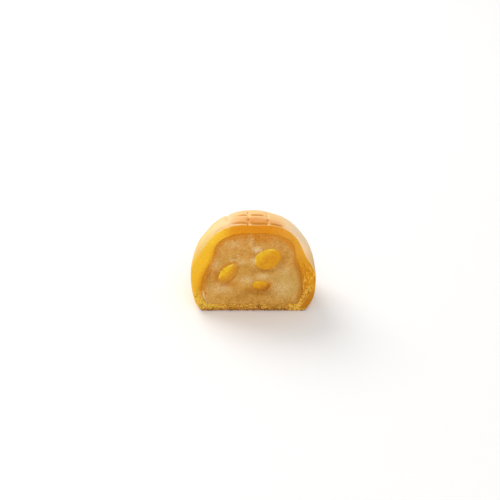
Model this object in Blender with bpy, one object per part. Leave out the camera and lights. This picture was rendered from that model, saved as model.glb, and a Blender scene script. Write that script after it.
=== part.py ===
# Half of a baked manju, cut across its length. A thick yellow dough skin, scored on top with a square
# grid, wraps a body of bean paste, and three pieces of chestnut lie in the paste where the cut opens it.
# Metres, +Z up. The half stands on its flat base at z = 0, the cut faces -Y and the rounded end +Y.

import math

import bmesh
import bpy
import numpy as np
from mathutils import Matrix

# Outer size of the half
HALF_WIDTH = 0.0227
HEIGHT = 0.0358
LENGTH = 0.0285
FOOT_HALF_WIDTH = 0.0186
BULGE_HEIGHT = 0.0126
SIDE_DRAW_POWER = 3  # how late below the bulge the side draws in to the foot
CORNER_POWER = 4  # how late towards the foot the rounded end's corners fill out

# Dough skin, measured at the cut
SIDE_WALL = 0.0048
TOP_WALL = 0.0044
BASE_WALL = 0.0030
END_WALL = 0.0044
PASTE_BULGE_HEIGHT = 0.013
PASTE_FOOT_HALF_WIDTH = 0.0160

# The sides of the paste are flatter than a full curve, where the dough is thickest
PASTE_WAIST = 0.0025
PASTE_WAIST_LEVEL = 0.0217
PASTE_WAIST_SPREAD = 0.0062

# How far the tops of skin and paste lean to the right at the cut, fading to nothing at the rounded end
SKIN_LEAN = 0.0004
PASTE_LEAN = 0.0011

# The cut edge is drawn in, more on the left, where the soft dough has rolled over
EDGE_DEPTH = 0.0042
EDGE_LEFT = 0.0042
EDGE_RIGHT = 0.0013
EDGE_TOP = 0.0009
EDGE_LEVEL = 0.0212
EDGE_SPREAD = 0.0097
EDGE_SIDE_REACH = 0.0113  # distance from the middle at which the drawing in at the sides is full
EDGE_TOP_SPREAD = 0.0080  # how far to each side of the crown the edge dips

# Scored grid
LONG_PITCH = 0.0073
CROSS_PITCH = 0.0066
GROOVE_DEPTH = 0.0006
GROOVE_HALF_WIDTH = 0.0009
OUTER_GROOVE_SHARE = 0.6
CUT_NOTCH_SHARE = 0.45
LONG_GROOVES = 4
FIRST_LONG_GROOVE = -0.0099
CROSS_GROOVES = 3
FIRST_CROSS_GROOVE = 0.0011
GRID_SIDE_FADE = 0.002
GRID_END_FADE = 0.004
PILLOW = 0.00018

# Clearance between neighbouring pieces, and how far the chestnuts stand out of the cut at most
GAP = 0.0003
PROUD = 0.0013
FRONT_OVERRUN = 0.003  # how far the cutter for the paste's hollow reaches out of the cut

# The cut plane, placed so that the whole, with its proud chestnuts, is centred on the origin
CUT_Y = (PROUD - LENGTH) / 2

# How finely the surfaces are divided
SKIN_STEP = 0.0024
PASTE_STEP = 0.0030
CORNER_STEP = 0.0011
CORNER_STEPS = 4
NUT_SEGMENTS = 20
PROFILE_SAMPLES = 240
SMOOTH_DEGREES = 50.0
TINY = 1e-6

SKIN = {
    "half_width": HALF_WIDTH,
    "top": HEIGHT,
    "bulge": BULGE_HEIGHT,
    "bottom": 0.0,
    "foot": FOOT_HALF_WIDTH,
    "length": LENGTH,
    "rise_power": 1.7,
    "width_power": 2.7,
    "plan_low": 3.0,
    "plan_top": 2.0,
    "lean": SKIN_LEAN,
    "waist": 0.0,
}

PASTE = {
    "half_width": HALF_WIDTH - SIDE_WALL,
    "top": HEIGHT - TOP_WALL,
    "bulge": PASTE_BULGE_HEIGHT,
    "bottom": BASE_WALL,
    "foot": PASTE_FOOT_HALF_WIDTH,
    "length": LENGTH - END_WALL,
    "rise_power": 3.0,
    "width_power": 2.7,
    "plan_low": 3.0,
    "plan_top": 2.2,
    "lean": PASTE_LEAN,
    "waist": PASTE_WAIST,
}

# Each chestnut: its centre across, in depth behind the cut and in height, its three half sizes along
# its length, in depth and across, its tilt in the plane of the cut, how much fuller one end is than the
# other, how far its outline is from an oval towards a rounded triangle, and, where the cut has sliced it
# flat, how far that flat stands out.
CHESTNUTS = {
    "chestnut_upper": {
        "centre": (0.0052, 0.0012, 0.0213),
        "radii": (0.0053, 0.0040, 0.0043),
        "tilt": 36.0,
        "egg": 0.10,
        "corners": 0.06,
        "flat": 0.0006,
    },
    "chestnut_left": {
        "centre": (-0.0084, 0.0019, 0.0154),
        "radii": (0.0057, 0.0032, 0.0038),
        "tilt": 48.0,
        "egg": -0.12,
        "corners": 0.0,
        "flat": None,
    },
    "chestnut_lower": {
        "centre": (0.0029, 0.0017, 0.0106),
        "radii": (0.0043, 0.0028, 0.0026),
        "tilt": -8.0,
        "egg": 0.10,
        "corners": 0.0,
        "flat": None,
    },
}


def clear_scene():
    for thing in list(bpy.data.objects):
        bpy.data.objects.remove(thing, do_unlink=True)


def make_material(name, colour, roughness):
    material = bpy.data.materials.new(name)
    material.use_nodes = True
    shader = material.node_tree.nodes["Principled BSDF"]
    shader.inputs["Base Color"].default_value = (*colour, 1.0)
    shader.inputs["Roughness"].default_value = roughness
    shader.inputs["Metallic"].default_value = 0.0
    return material


def profile(form):
    """Half width and height from the crown to the foot, with the arc length so far at each sample.

    Above the bulge the outline is a superellipse. Below it the side draws in with a power of the way
    down, to the foot.
    """
    turn = np.linspace(0.0, math.pi / 2, PROFILE_SAMPLES)
    dome_width = form["half_width"] * np.sin(turn) ** (2 / form["width_power"])
    rise = form["top"] - form["bulge"]
    dome_height = form["bulge"] + rise * np.cos(turn) ** (2 / form["rise_power"])
    down = np.linspace(0.0, 1.0, PROFILE_SAMPLES)[1:]
    side_width = form["half_width"] - (form["half_width"] - form["foot"]) * down**SIDE_DRAW_POWER
    side_height = form["bulge"] + (form["bottom"] - form["bulge"]) * down
    width = np.concatenate([dome_width, side_width])
    height = np.concatenate([dome_height, side_height])
    arc = np.concatenate([[0.0], np.cumsum(np.hypot(np.diff(width), np.diff(height)))])
    return width, height, arc


def norm(a, b, power):
    return (np.abs(a) ** power + np.abs(b) ** power) ** (1 / power)


def drape(form, a, b):
    """Points of a half loaf over the rectangle a = -1 to 1, b = 0 to 1, before the cut edge is drawn in.

    a runs from the left foot over the crown to the right foot, and b from the cut to the foot of the
    rounded end. Each level of the loaf is a superellipse in plan, squarer low down than at the crown.
    A waist draws the sides in round its level.
    """
    width, height, arc = profile(form)
    reach = np.maximum(np.abs(a), np.abs(b))
    inner = norm(a, b, form["plan_top"])
    down = np.clip(inner + (reach - inner) * reach**CORNER_POWER, 0.0, 1.0)
    level_width = np.interp(down * arc[-1], arc, width)
    z = np.interp(down * arc[-1], arc, height)
    level_width = level_width - form["waist"] * np.exp(-(((z - PASTE_WAIST_LEVEL) / PASTE_WAIST_SPREAD) ** 2))
    up = np.clip((z - form["bulge"]) / (form["top"] - form["bulge"]), 0.0, 1.0)
    power = form["plan_low"] + (form["plan_top"] - form["plan_low"]) * up
    across = np.maximum(norm(a, b, power), TINY)
    x = level_width * a / across
    y = level_width * b / across * form["length"] / form["half_width"]
    x = x + form["lean"] * up * (1.0 - y / form["length"])
    return np.stack([x, y, z], axis=-1)


def groove_places(first, pitch, count):
    return [first + pitch * i for i in range(count)]


def groove_marks(places):
    """The two edges and the bottom of each groove."""
    return [place + side for place in places for side in (-GROOVE_HALF_WIDTH, 0.0, GROOVE_HALF_WIDTH)]


def notch(distance):
    return np.clip(1.0 - np.abs(distance) / GROOVE_HALF_WIDTH, 0.0, 1.0)


def relief(across, along):
    """Height of the scored top at arc distances from the crown line and from the cut."""
    long_places = groove_places(FIRST_LONG_GROOVE, LONG_PITCH, LONG_GROOVES)
    cross_places = groove_places(FIRST_CROSS_GROOVE, CROSS_PITCH, CROSS_GROOVES)
    long_shares = [OUTER_GROOVE_SHARE] + [1.0] * (LONG_GROOVES - 2) + [OUTER_GROOVE_SHARE]
    long_cut = np.max([share * notch(across - x) for x, share in zip(long_places, long_shares)], axis=0)
    cross_cut = np.max([notch(along - y) for y in cross_places], axis=0)
    beyond_side = np.maximum(long_places[0] - across, across - long_places[-1])
    beyond_end = along - cross_places[-1]
    side_fade = np.clip(1.0 - beyond_side / GRID_SIDE_FADE, 0.0, 1.0)
    end_fade = np.clip(1.0 - beyond_end / GRID_END_FADE, 0.0, 1.0)
    cut_fade = CUT_NOTCH_SHARE + (1.0 - CUT_NOTCH_SHARE) * np.clip(along / FIRST_CROSS_GROOVE, 0.0, 1.0)
    cut = np.maximum(long_cut * end_fade * cut_fade, cross_cut * side_fade)
    return PILLOW * side_fade * end_fade - (GROOVE_DEPTH + PILLOW) * cut


def outward(form, a, b):
    """The unit normals of the draped surface, from points a small step apart."""
    small = 1e-4
    along_a = drape(form, a + small, b) - drape(form, a - small, b)
    along_b = drape(form, a, b + small) - drape(form, a, b)
    normal = np.cross(along_a, along_b)
    return normal / np.linalg.norm(normal, axis=-1, keepdims=True)


def draw_in_edge(points):
    """Pulls the skin next to the cut towards the middle of the loaf, at the shoulders and at the crown."""
    x, y, z = points[..., 0], points[..., 1], points[..., 2]
    near = np.clip(1.0 - y / EDGE_DEPTH, 0.0, 1.0) ** 2
    side = np.where(x < 0, EDGE_LEFT, EDGE_RIGHT) * np.clip(np.abs(x) / EDGE_SIDE_REACH, 0.0, 1.0)
    shoulder = np.exp(-(((z - EDGE_LEVEL) / EDGE_SPREAD) ** 2))
    high = np.clip((z - BULGE_HEIGHT) / (HEIGHT - BULGE_HEIGHT), 0.0, 1.0)
    crown = EDGE_TOP * high * np.exp(-((x / EDGE_TOP_SPREAD) ** 2))
    pull = (side * shoulder + crown) * near
    radius = np.maximum(np.hypot(x, z - BULGE_HEIGHT), TINY)
    moved = points.copy()
    moved[..., 0] -= pull * x / radius
    moved[..., 2] -= pull * np.clip((z - BULGE_HEIGHT) / radius, 0.0, 1.0)
    return moved


def filled_in(marks, start, end, step):
    """The marked places in order, with evenly spaced ones between them no further apart than step."""
    stops = [start] + [mark for mark in sorted(marks) if start < mark < end] + [end]
    places = [start]
    for low, high in zip(stops[:-1], stops[1:]):
        count = max(1, round((high - low) / step))
        places += [low + (high - low) * (i + 1) / count for i in range(count)]
    return np.array(places)


def skin_points():
    arc = profile(SKIN)[2][-1]
    end_arc = arc * LENGTH / HALF_WIDTH
    long_places = groove_places(FIRST_LONG_GROOVE, LONG_PITCH, LONG_GROOVES)
    cross_places = groove_places(FIRST_CROSS_GROOVE, CROSS_PITCH, CROSS_GROOVES)
    across = filled_in(groove_marks(long_places), -arc, arc, SKIN_STEP)
    along = filled_in(groove_marks(cross_places), 0.0, end_arc, SKIN_STEP)
    a, b = np.meshgrid(across / arc, along / end_arc, indexing="ij")
    points = drape(SKIN, a, b)
    height = relief(a * arc, b * end_arc)
    points = points + outward(SKIN, a, b) * height[..., None]
    points[:, 0, 1] = 0.0
    points[0, :, 2] = 0.0
    points[-1, :, 2] = 0.0
    points[:, -1, 2] = 0.0
    return draw_in_edge(points)


def paste_points(extra, front):
    """The paste's surface, grown outwards by extra, with its open front carried forward by front."""
    form = dict(PASTE)
    form["half_width"] += extra
    form["foot"] += extra
    form["top"] += extra
    form["bottom"] -= extra
    form["length"] += extra
    arc = profile(form)[2][-1]
    end_arc = arc * form["length"] / form["half_width"]
    corner = [CORNER_STEP * (i + 1) for i in range(CORNER_STEPS)]
    side_marks = [sign * (arc - step) for step in corner for sign in (-1, 1)]
    across = filled_in(side_marks, -arc, arc, PASTE_STEP)
    along = filled_in([end_arc - step for step in corner], 0.0, end_arc, PASTE_STEP)
    a, b = np.meshgrid(across / arc, along / end_arc, indexing="ij")
    points = drape(form, a, b)
    if front > 0.0:
        first = points[:, :1].copy()
        first[..., 1] -= front
        points = np.concatenate([first, points], axis=1)
    return points


def closed_mesh(name, points):
    """A grid of points made solid with one flat face over the cut and one under the base."""
    rows, columns = points.shape[:2]
    mesh = bpy.data.meshes.new(name)
    build = bmesh.new()
    grid = [[build.verts.new(points[i, j]) for j in range(columns)] for i in range(rows)]
    for i in range(rows - 1):
        for j in range(columns - 1):
            build.faces.new((grid[i][j], grid[i + 1][j], grid[i + 1][j + 1], grid[i][j + 1]))
    build.faces.new([row[0] for row in grid])
    left_side = grid[0]
    far_end = [row[-1] for row in grid[1:-1]]
    right_side = grid[-1][::-1]
    build.faces.new(left_side + far_end + right_side)
    bmesh.ops.recalc_face_normals(build, faces=build.faces)
    build.to_mesh(mesh)
    build.free()
    return mesh


def place(name, mesh, material, parent, location=(0.0, 0.0, 0.0)):
    thing = bpy.data.objects.new(name, mesh)
    bpy.context.scene.collection.objects.link(thing)
    thing.parent = parent
    thing.location = location
    mesh.materials.append(material)
    mesh.shade_smooth()
    mesh.set_sharp_from_angle(angle=math.radians(SMOOTH_DEGREES))
    return thing


def make_cutter(thing):
    thing.hide_render = True
    thing.display_type = "WIRE"
    return thing


def cut_with(thing, cutter):
    modifier = thing.modifiers.new(cutter.name, "BOOLEAN")
    modifier.operation = "DIFFERENCE"
    modifier.solver = "EXACT"
    modifier.object = cutter


def nut_mesh(name, nut, extra, flat):
    """An egg-shaped solid, grown by extra, and cut off where flat says, if it does.

    Its outline seen from the cut swells and shrinks three times round by the share in corners.
    """
    mesh = bpy.data.meshes.new(name)
    build = bmesh.new()
    bmesh.ops.create_uvsphere(build, u_segments=NUT_SEGMENTS, v_segments=NUT_SEGMENTS // 2, radius=1.0)
    radii = [radius + extra for radius in nut["radii"]]
    for vert in build.verts:
        taper = 1.0 + nut["egg"] * vert.co.x
        off_axis = vert.co.x**2 + vert.co.z**2
        corner = 1.0 + nut["corners"] * off_axis * math.cos(3.0 * math.atan2(vert.co.z, vert.co.x))
        vert.co.x *= corner
        vert.co.z *= corner
        vert.co.x *= radii[0]
        vert.co.y *= radii[1] * taper
        vert.co.z *= radii[2] * taper
    tilt = Matrix.Rotation(-math.radians(nut["tilt"]), 3, "Y")
    bmesh.ops.rotate(build, verts=build.verts, matrix=tilt)
    if flat is not None:
        sliced_at = (0.0, -flat - nut["centre"][1], 0.0)
        everything = build.verts[:] + build.edges[:] + build.faces[:]
        bmesh.ops.bisect_plane(
            build, geom=everything, plane_co=sliced_at, plane_no=(0.0, -1.0, 0.0), clear_outer=True
        )
        bmesh.ops.holes_fill(build, edges=[edge for edge in build.edges if edge.is_boundary])
    bmesh.ops.recalc_face_normals(build, faces=build.faces)
    build.to_mesh(mesh)
    build.free()
    return mesh


def nut_location(nut):
    return (nut["centre"][0], CUT_Y + nut["centre"][1], nut["centre"][2])


def make_dough(material, parent):
    dough = place("dough", closed_mesh("dough", skin_points()), material, parent, (0.0, CUT_Y, 0.0))
    hollow = closed_mesh("paste_hollow", paste_points(GAP, FRONT_OVERRUN))
    cutter = make_cutter(place("paste_hollow", hollow, material, parent, (0.0, CUT_Y, 0.0)))
    cut_with(dough, cutter)
    return dough


def make_paste(material, parent):
    mesh = closed_mesh("bean_paste", paste_points(0.0, 0.0))
    paste = place("bean_paste", mesh, material, parent, (0.0, CUT_Y, 0.0))
    for name, nut in CHESTNUTS.items():
        pocket = nut_mesh(name + "_pocket", nut, GAP, None)
        cutter = make_cutter(place(name + "_pocket", pocket, material, parent, nut_location(nut)))
        cut_with(paste, cutter)
    return paste


def make_chestnuts(material, parent):
    for name, nut in CHESTNUTS.items():
        place(name, nut_mesh(name, nut, 0.0, nut["flat"]), material, parent, nut_location(nut))


def main():
    clear_scene()
    manju = bpy.data.objects.new("manju", None)
    bpy.context.scene.collection.objects.link(manju)
    make_dough(make_material("dough", (0.87, 0.53, 0.13), 0.55), manju)
    make_paste(make_material("bean_paste", (0.60, 0.37, 0.11), 0.6), manju)
    make_chestnuts(make_material("chestnut", (0.78, 0.45, 0.02), 0.35), manju)


main()
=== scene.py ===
import itertools
import math

import bmesh
import bpy
import numpy as np
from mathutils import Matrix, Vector


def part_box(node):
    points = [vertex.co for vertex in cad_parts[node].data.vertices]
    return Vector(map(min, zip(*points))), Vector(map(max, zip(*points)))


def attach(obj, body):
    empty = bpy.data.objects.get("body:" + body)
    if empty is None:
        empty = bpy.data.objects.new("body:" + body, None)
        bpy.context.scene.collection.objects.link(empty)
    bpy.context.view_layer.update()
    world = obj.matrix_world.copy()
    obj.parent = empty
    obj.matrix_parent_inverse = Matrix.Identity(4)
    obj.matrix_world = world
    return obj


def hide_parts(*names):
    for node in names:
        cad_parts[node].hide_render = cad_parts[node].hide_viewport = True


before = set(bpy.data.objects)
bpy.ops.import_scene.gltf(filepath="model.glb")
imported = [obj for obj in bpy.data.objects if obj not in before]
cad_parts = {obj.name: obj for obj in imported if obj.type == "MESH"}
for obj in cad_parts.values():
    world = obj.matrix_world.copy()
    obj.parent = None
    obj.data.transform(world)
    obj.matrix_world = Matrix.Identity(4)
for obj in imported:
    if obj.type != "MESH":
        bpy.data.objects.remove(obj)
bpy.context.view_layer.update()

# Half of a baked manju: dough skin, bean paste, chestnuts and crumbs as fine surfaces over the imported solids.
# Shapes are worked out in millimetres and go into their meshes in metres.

metres = 0.001
doughLow, doughHigh = (np.array(corner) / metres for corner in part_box("dough"))
cutY = doughLow[1]  # the plane of the cut
doughWall = 4.4  # thickness of the dough at its far end
inPlane = np.array([1, 0, 1])  # times a point: its place on the cut
profilePoints = 400  # down to the bulge, and as many from there to the foot
tiny = 1e-6

loaf = {  # outer form
    "halfWidth": 22.7,
    "top": 35.8,
    "bulge": 12.6,  # the level at which it is widest
    "bottom": 0.0,
    "foot": 18.6,  # half width of its base
    "length": doughHigh[1] - doughLow[1],
    "risePower": 1.7,  # how square its outline is on the cut, upwards and sideways
    "widthPower": 2.7,
    "planLow": 3.0,  # and seen from above, up to the bulge and at the crown
    "planTop": 2.0,
    "lean": 0.4,  # how far the crown lies to the right
    "waist": (0, 1, 0),
    "lowLeft": 0.0,
}

filling = {  # form of the paste inside it, with flatter sides round its waist
    "halfWidth": 17.9,
    "top": 31.4,
    "bulge": 13.0,
    "bottom": 3.0,
    "foot": 16.0,
    "length": loaf["length"] - doughWall,
    "risePower": 3.0,
    "widthPower": 2.7,
    "planLow": 3.0,
    "planTop": 2.2,
    "lean": 1.1,
    "waist": (21.7, 6.2, 2.5),  # its level, its reach up and down, and how much narrower it is there
    "lowLeft": 0.65,  # how much further out it reaches low down at the left of the cut
}


def cellDraw(cells, seed):
    # a number 0 to 1 that is always the same for a cell: its coordinates times primes, scrambled twice
    mixed = cells[..., 0] * 374761393 + cells[..., 1] * 668265263 + cells[..., 2] * 1103515245
    lowBits = 0xFFFFFFFF  # the 32 that are kept
    mixed = (mixed + seed * 362437) & lowBits
    mixed = ((mixed ^ (mixed >> 13)) * 1274126177) & lowBits
    return (mixed ^ (mixed >> 16)) / 2**32


def swells(points, size, seed):
    # smooth noise, -1 to 1: draws at the corners of cubes of that size, eased from one to the next
    place = points / size
    cell = np.floor(place).astype(np.int64)
    part = place - cell
    part = part * part * (3 - 2 * part)
    total = np.zeros(points.shape[:-1])
    for corner in itertools.product((0, 1), repeat=3):
        total += np.prod(np.where(corner, part, 1 - part), axis=-1) * cellDraw(cell + np.array(corner), seed)
    return 2 * total - 1


def grains(points, size, seed, reach=0.75):
    # domes, 0 to 1: each cube of that size holds one centre, and a dome stands over the nearest centre
    place = points / size
    cell = np.floor(place).astype(np.int64)
    nearest = np.full(points.shape[:-1], 9.0)
    for step in itertools.product((-1, 0, 1), repeat=3):
        near = cell + np.array(step)
        centre = near + np.stack([cellDraw(near, seed + axis) for axis in range(3)], axis=-1)
        nearest = np.minimum(nearest, np.linalg.norm(place - centre, axis=-1))
    return np.sqrt(np.clip(1 - (nearest / reach) ** 2, 0, 1))


def fade(value, start, end):  # eased from 0 at start to 1 at end, either way round
    share = np.clip((value - start) / (end - start), 0, 1)
    return share * share * (3 - 2 * share)


def hump(distance, half):  # 1 at no distance, just over a third at the half width
    return np.exp(-((distance / half) ** 2))


def spot(x, z, middle, reach):  # a soft round spot on the cut, 1 in its middle
    return np.exp(-(((x - middle[0]) / reach[0]) ** 2) - ((z - middle[1]) / reach[1]) ** 2)


def onCut(x, z):  # the places on the cut as points for its noise
    return np.stack([x, 0 * x, z], axis=-1)


def outFrom(line, x, z):  # how far out from a line on the cut, given by a place on it and the way out
    (startX, startZ), (wayX, wayZ) = line
    return (x - startX) * wayX + (z - startZ) * wayZ


def rise(form, z):  # 0 at the bulge and below, 1 at the crown
    return np.clip((z - form["bulge"]) / (form["top"] - form["bulge"]), 0, 1)


def profile(form):
    # half width and height from crown to foot: a superellipse to the bulge, then a side that draws in late
    turn = np.linspace(0, math.pi / 2, profilePoints)
    domeWidth = form["halfWidth"] * np.sin(turn) ** (2 / form["widthPower"])
    domeHeight = form["bulge"] + (form["top"] - form["bulge"]) * np.cos(turn) ** (2 / form["risePower"])
    down = np.linspace(0, 1, profilePoints)[1:]
    sideWidth = form["halfWidth"] - (form["halfWidth"] - form["foot"]) * down**3
    sideHeight = form["bulge"] + (form["bottom"] - form["bulge"]) * down
    width = np.concatenate([domeWidth, sideWidth])
    height = np.concatenate([domeHeight, sideHeight])
    arc = np.concatenate([[0], np.cumsum(np.hypot(np.diff(width), np.diff(height)))])
    return width, height, arc


def drawnIn(form, z):  # what the waist takes off the half width at a level
    level, spread, depth = form["waist"]
    return depth * hump(z - level, spread)


def spreadOut(form, x, z):  # what is added to the half width low down at the left
    return form["lowLeft"] * fade(x, -10, -15) * fade(z, 12, 8)


def pnorm(a, b, power):
    return (np.abs(a) ** power + np.abs(b) ** power) ** (1 / power)


def drape(form, a, b):
    # half loaf over a = -1 to 1 (left foot, crown, right foot) and b = 0 to 1 (cut, far foot):
    # the level comes from the profile, and each level is a superellipse in plan, squarer low down
    width, height, arc = profile(form)
    reach = np.maximum(np.abs(a), np.abs(b))
    inner = pnorm(a, b, form["planTop"])
    down = np.clip(inner + (reach - inner) * reach**4, 0, 1)
    levelWidth = np.interp(down * arc[-1], arc, width)
    z = np.interp(down * arc[-1], arc, height)
    levelWidth = levelWidth - drawnIn(form, z)
    up = rise(form, z)
    power = form["planLow"] + (form["planTop"] - form["planLow"]) * up
    across = np.maximum(pnorm(a, b, power), tiny)
    x = levelWidth * a / across
    y = levelWidth * b / across * form["length"] / form["halfWidth"]
    x = x + (form["lean"] * up - spreadOut(form, x, z)) * (1 - y / form["length"])
    return np.stack([x, y, z], axis=-1)


def outward(form, a, b):  # unit normals, from points a small step apart
    step = 1e-4
    alongA = drape(form, a + step, b) - drape(form, a - step, b)
    alongB = drape(form, a, b + step) - drape(form, a, b)
    normal = np.cross(alongA, alongB)
    return normal / np.maximum(np.linalg.norm(normal, axis=-1, keepdims=True), 1e-12)


def grown(form, extra):
    bigger = dict(form)
    for side in ("halfWidth", "foot", "top", "length"):
        bigger[side] += extra
    bigger["bottom"] -= extra
    return bigger


def graded(*stretches):  # places along a line from 0, each stretch an end and a spacing
    places = [0.0]
    for end, spacing in stretches:
        count = max(1, round((end - places[-1]) / spacing))
        places += list(np.linspace(places[-1], end, count + 1)[1:])
    return np.array(places)


class Sheet:
    # gathers the points, faces and fields of one closed surface, where grids can share rows of point numbers
    def __init__(self, **usual):  # the values of fields where none are given
        self.usual = usual
        self.points = []
        self.fields = []
        self.faces = []
        self.count = 0

    def add(self, points, **fields):  # new points, whose numbers come back in the same layout
        numbers = self.count + np.arange(points[..., 0].size).reshape(points.shape[:-1])
        self.count += numbers.size
        self.points.append(points.reshape(-1, 3))
        values = {**self.usual, **fields}
        self.fields.append({name: np.broadcast_to(values[name], numbers.shape).ravel() for name in values})
        return numbers

    def skin(self, numbers):  # the quads of grids of point numbers, one or a stack of them
        corners = (numbers[..., :-1, :-1], numbers[..., 1:, :-1], numbers[..., 1:, 1:], numbers[..., :-1, 1:])
        self.faces += np.stack(corners, axis=-1).reshape(-1, 4).tolist()

    def cap(self, loop):  # one flat face over a loop
        self.faces.append(loop.tolist())

    def fan(self, loop, tip):  # triangles from a closed loop to one point
        ends = np.stack([loop, np.roll(loop, -1), np.full_like(loop, tip)], axis=-1)
        self.faces += ends.tolist()


def addObject(name, data):
    thing = bpy.data.objects.new(name, data)
    bpy.context.scene.collection.objects.link(thing)
    return thing


def setSockets(node, values):
    for socket, value in values.items():
        node.inputs[socket].default_value = value


def makePiece(name, sheet, paint, slotName, *nodes):
    mesh = bpy.data.meshes.new(name)
    points = np.concatenate(sheet.points) + np.array([0, cutY, 0])
    mesh.from_pydata((points * metres).tolist(), [], sheet.faces)
    for field in sheet.fields[0]:
        values = np.concatenate([part[field] for part in sheet.fields]).astype(np.float32)
        mesh.attributes.new(field, "FLOAT", "POINT").data.foreach_set("value", values)
    build = bmesh.new()
    build.from_mesh(mesh)
    bmesh.ops.recalc_face_normals(build, faces=build.faces)
    build.to_mesh(mesh)
    build.free()
    mesh.materials.append(paint)
    mesh.shade_smooth()
    piece = addObject(name, mesh)
    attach(piece, "root")
    if nodes:
        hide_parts(*nodes)
    return piece


class Wire:
    # one socket of a material, so that sums and mixes of patterns read as Python
    def __init__(self, tree, socket=None):
        self.tree = tree
        self.socket = socket

    def node(self, kind, settings=None, sockets=None, output=0):
        made = self.tree.nodes.new("ShaderNode" + kind)
        for setting, value in (settings or {}).items():
            setattr(made, setting, value)
        for key, value in (sockets or {}).items():
            if isinstance(value, Wire):
                self.tree.links.new(value.socket, made.inputs[key])
            else:
                made.inputs[key].default_value = tint(value) if isinstance(value, str) else value
        return Wire(self.tree, made.outputs[output])

    def sum(self, operation, first, second):
        return self.node("Math", {"operation": operation}, {0: first, 1: second})

    def __add__(self, other):
        return self.sum("ADD", self, other)

    __radd__ = __add__

    def __sub__(self, other):
        return self.sum("SUBTRACT", self, other)

    def __rsub__(self, other):
        return self.sum("SUBTRACT", other, self)

    def __mul__(self, other):
        return self.sum("MULTIPLY", self, other)

    __rmul__ = __mul__

    def ease(self, start, end):  # 0 at start to 1 at end
        ends = {"Value": self, "From Min": start, "From Max": end}
        return self.node("MapRange", {"interpolation_type": "SMOOTHSTEP"}, ends)

    def between(self, low, high):  # a colour that turns from one to the other as this goes from 0 to 1
        return self.node("Mix", {"data_type": "RGBA"}, {0: self, 6: low, 7: high}, 2)

    def blend(self, other, share):  # this colour turned towards another by a share
        return self.node("Mix", {"data_type": "RGBA"}, {0: share, 6: self, 7: other}, 2)

    def layers(self, *tints):  # this colour turned towards one after another, each with its share
        colour = self
        for code, share in tints:
            colour = colour.blend(code, share)
        return colour

    def times(self, share):  # this colour made brighter or darker
        return self.node("VectorMath", {"operation": "SCALE"}, {0: self, "Scale": share})

    def fields(self, *names):
        return [self.node("Attribute", {"attribute_name": name}, output=2) for name in names]

    def noise(self, size, detail=2.0, roughness=0.5):  # 0 to 1, with spots of about that size in millimetres
        scale = 1 / (size * metres)
        sockets = {"Vector": self, "Scale": scale, "Detail": detail, "Roughness": roughness}
        return self.node("TexNoise", {}, sockets)

    def cells(self, size):  # 0 in the middle of each cell to about 1 between them
        return self.node("TexVoronoi", {}, {"Vector": self, "Scale": 1 / (size * metres)})


def tint(code):  # a colour as read off a screen, made linear
    shares = np.array([int(code[i : i + 2], 16) / 255 for i in (0, 2, 4)])
    linear = np.where(shares <= 0.04045, shares / 12.92, ((shares + 0.055) / 1.055) ** 2.4)
    return (*(float(value) for value in linear), 1.0)


def plainPaint(name):
    material = bpy.data.materials.new(name)
    material.use_nodes = True
    return material, material.node_tree.nodes["Principled BSDF"]


def newPaint(name, shine, coat, soft):
    # a material with its constants set, and with it its shader, a start wire and the places on it
    material, shader = plainPaint(name)
    setSockets(shader, {
        "Specular IOR Level": shine,
        "Coat Weight": coat,
        "Coat Roughness": 0.3,
        "Subsurface Weight": soft,
        "Subsurface Radius": (1.0, 0.55, 0.25),
        "Subsurface Scale": 1.2 * metres,
    })
    start = Wire(material.node_tree)
    place = start.node("TexCoord", output=3)
    return material, shader, start, place


def axesOf(place):  # the three coordinates in millimetres
    split = place.node("SeparateXYZ", {}, {0: place})
    tree = place.tree
    return [Wire(tree, split.socket.node.outputs[i]) * (1 / metres) for i in range(3)]


def finishPaint(start, shader, colour, roughness, relief, depth):
    # colour and roughness straight in, relief in millimetres through a bump
    start.tree.links.new(colour.socket, shader.inputs["Base Color"])
    start.tree.links.new(roughness.socket, shader.inputs["Roughness"])
    bump = start.node("Bump", {}, {"Height": relief, "Distance": depth * metres, "Strength": 1.0})
    start.tree.links.new(bump.socket, shader.inputs["Normal"])


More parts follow.
